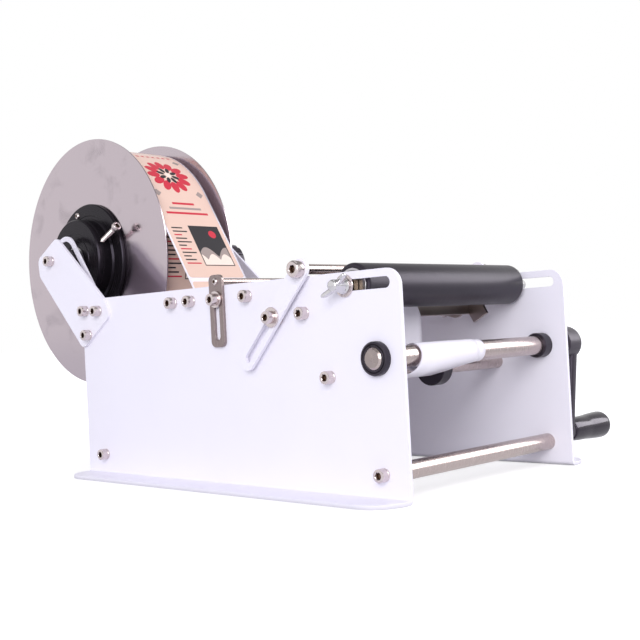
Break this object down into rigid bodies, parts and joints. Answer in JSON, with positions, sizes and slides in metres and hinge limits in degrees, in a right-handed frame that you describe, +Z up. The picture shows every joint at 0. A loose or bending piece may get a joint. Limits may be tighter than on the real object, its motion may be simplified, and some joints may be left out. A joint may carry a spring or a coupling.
{
  "type": "bottle labeling machine",
  "caption": "Hand-cranked bench labeler: white side plates on cross rods carry a label reel, peel plate, rest rod, slotted roller and a take-up shaft with crank.",
  "frame": {"origin": "middle of the machine's box, on the table under the foot flanges", "axes": "+X across the machine towards the crank, +Y from the open front to the reel, +Z up"},
  "size_m": [0.3382, 0.569, 0.3335],
  "materials": {
    "powder_white": "white powder coat, fine orange peel",
    "stainless": "ground and polished stainless bar",
    "disc_steel": "mill finish stainless sheet with faint smudges",
    "bracket_steel": "brushed stainless strip",
    "peel_steel": "bright cold rolled stainless sheet",
    "screw_steel": "nickel plated socket screws and nuts",
    "zinc": "bright zinc plated casting",
    "black_hub": "turned black acetal, semi-gloss",
    "black_bush": "black nylon, satin",
    "crank_black": "black glass-filled nylon, satin",
    "grip_black": "polished black phenolic",
    "roller_rubber": "ground black rubber",
    "alloy": "turned aluminium",
    "label_paper": "printed paper labels on white backing",
    "backing_paper": "white glassine backing",
    "core_board": "wound kraft board"
  },
  "bodies": {
    "frame": {"side_plate_left": "powder_white", "side_plate_right": "powder_white", "front_tie_rod": "stainless", "rear_tie_rod": "stainless", "paper_guide_rod": "stainless", "feed_rods": "stainless", "table_rods": "stainless", "frame_screws": "screw_steel", "frame_nuts_washers": "screw_steel", "shaft_bushes": "black_bush", "reel_arm_left": "powder_white", "reel_arm_right": "powder_white", "reel_arm_screws": "screw_steel", "reel_brake_leaf": "powder_white", "reel_axle": "stainless", "axle_screw": "screw_steel", "axle_collars": "black_bush", "peel_plate": "peel_steel", "peel_cheeks": "peel_steel", "label_web": "label_paper", "backing_strip": "backing_paper", "hold_down_clamps": "screw_steel"},
    "crank_shaft": {"takeup_shaft": "stainless", "shaft_collar": "black_bush", "wound_backing": "backing_paper", "crank_arm": "crank_black", "crank_set_screw": "screw_steel", "grip_spindle": "stainless"},
    "grip": {"crank_grip": "grip_black"},
    "roller_carriage": {"roller_axle": "stainless", "roller_lock_nuts": "screw_steel"},
    "roller": {"roller_tube": "alloy", "roller_sleeve": "roller_rubber", "roller_bearings": "alloy"},
    "left_wing_nut": {"wing_nut_left": "zinc"},
    "right_wing_nut": {"wing_nut_right": "zinc"},
    "rest_pivot": {"rest_clamp_screws": "screw_steel", "rest_clamp_washers": "screw_steel"},
    "rest": {"rest_arm_left": "powder_white", "rest_arm_right": "powder_white", "rest_rod": "stainless", "rest_bolts": "screw_steel"},
    "hold_down": {"hold_down_link_left": "bracket_steel", "hold_down_link_right": "bracket_steel", "hold_down_rod": "stainless", "hold_down_screws": "screw_steel"},
    "left_paper_collar": {"paper_collar_left": "black_bush"},
    "right_paper_collar": {"paper_collar_right": "black_bush"},
    "reel": {"reel_mandrel": "alloy", "reel_bearings": "alloy", "reel_disc_right": "disc_steel", "reel_hub_right": "black_hub", "reel_hub_screws_right": "screw_steel", "label_core": "core_board", "label_roll": "label_paper"},
    "reel_left_flange": {"reel_disc_left": "disc_steel", "reel_hub_left": "black_hub", "reel_hub_screws_left": "screw_steel"},
    "lock_screw": {"reel_lock_screw": "screw_steel"},
    "knob": {"axle_knob": "black_bush"}
  },
  "joints": [
    {"name": "reel_turn", "type": "hinge", "parent": "frame", "child": "reel", "pos_m": [-0.03015, 0.1595, 0.2085], "axis": [1, 0, 0], "continuous": true},
    {"name": "crank_turn", "type": "hinge", "parent": "frame", "child": "crank_shaft", "pos_m": [-0.03015, -0.2605, 0.103], "axis": [1, 0, 0], "continuous": true},
    {"name": "grip_spin", "type": "hinge", "parent": "crank_shaft", "child": "grip", "pos_m": [0.11015, -0.2605, 0.026], "axis": [1, 0, 0], "continuous": true},
    {"name": "roller_slide", "type": "slide", "parent": "frame", "child": "roller_carriage", "axis": [0, -1, 0], "range_m": [-0.003, 0.038]},
    {"name": "roller_spin", "type": "hinge", "parent": "roller_carriage", "child": "roller", "pos_m": [-0.03015, -0.2325, 0.157], "axis": [1, 0, 0], "continuous": true},
    {"name": "left_wing_nut_turn", "type": "hinge", "parent": "roller_carriage", "child": "left_wing_nut", "pos_m": [-0.13915, -0.2325, 0.157], "axis": [1, 0, 0], "continuous": true},
    {"name": "right_wing_nut_turn", "type": "hinge", "parent": "roller_carriage", "child": "right_wing_nut", "pos_m": [0.07885, -0.2325, 0.157], "axis": [1, 0, 0], "continuous": true},
    {"name": "rest_tilt", "type": "hinge", "parent": "frame", "child": "rest_pivot", "pos_m": [-0.03015, -0.1595, 0.1375], "axis": [1, 0, 0], "range_deg": [-75, 0]},
    {"name": "rest_slide", "type": "slide", "parent": "rest_pivot", "child": "rest", "axis": [0, -0.6884, 0.7254], "range_m": [0, 0.043]},
    {"name": "hold_down_lift", "type": "slide", "parent": "frame", "child": "hold_down", "axis": [0, 0, 1], "range_m": [0, 0.026]},
    {"name": "left_paper_collar_slide", "type": "slide", "parent": "frame", "child": "left_paper_collar", "axis": [-1, 0, 0], "range_m": [0, 0.025]},
    {"name": "right_paper_collar_slide", "type": "slide", "parent": "frame", "child": "right_paper_collar", "axis": [1, 0, 0], "range_m": [0, 0.06]},
    {"name": "reel_flange_slide", "type": "slide", "parent": "reel", "child": "reel_left_flange", "axis": [-1, 0, 0], "range_m": [0, 0.006]},
    {"name": "lock_screw_turn", "type": "hinge", "parent": "reel_left_flange", "child": "lock_screw", "pos_m": [-0.1069, 0.1595, 0.2085], "axis": [0, -0.9063, 0.4226], "continuous": true},
    {"name": "knob_turn", "type": "hinge", "parent": "frame", "child": "knob", "pos_m": [0.07885, 0.1595, 0.2085], "axis": [1, 0, 0], "continuous": true}
  ],
  "couplings": [
    {"joint": "crank_turn", "follows": "reel_turn", "ratio": -10}
  ]
}
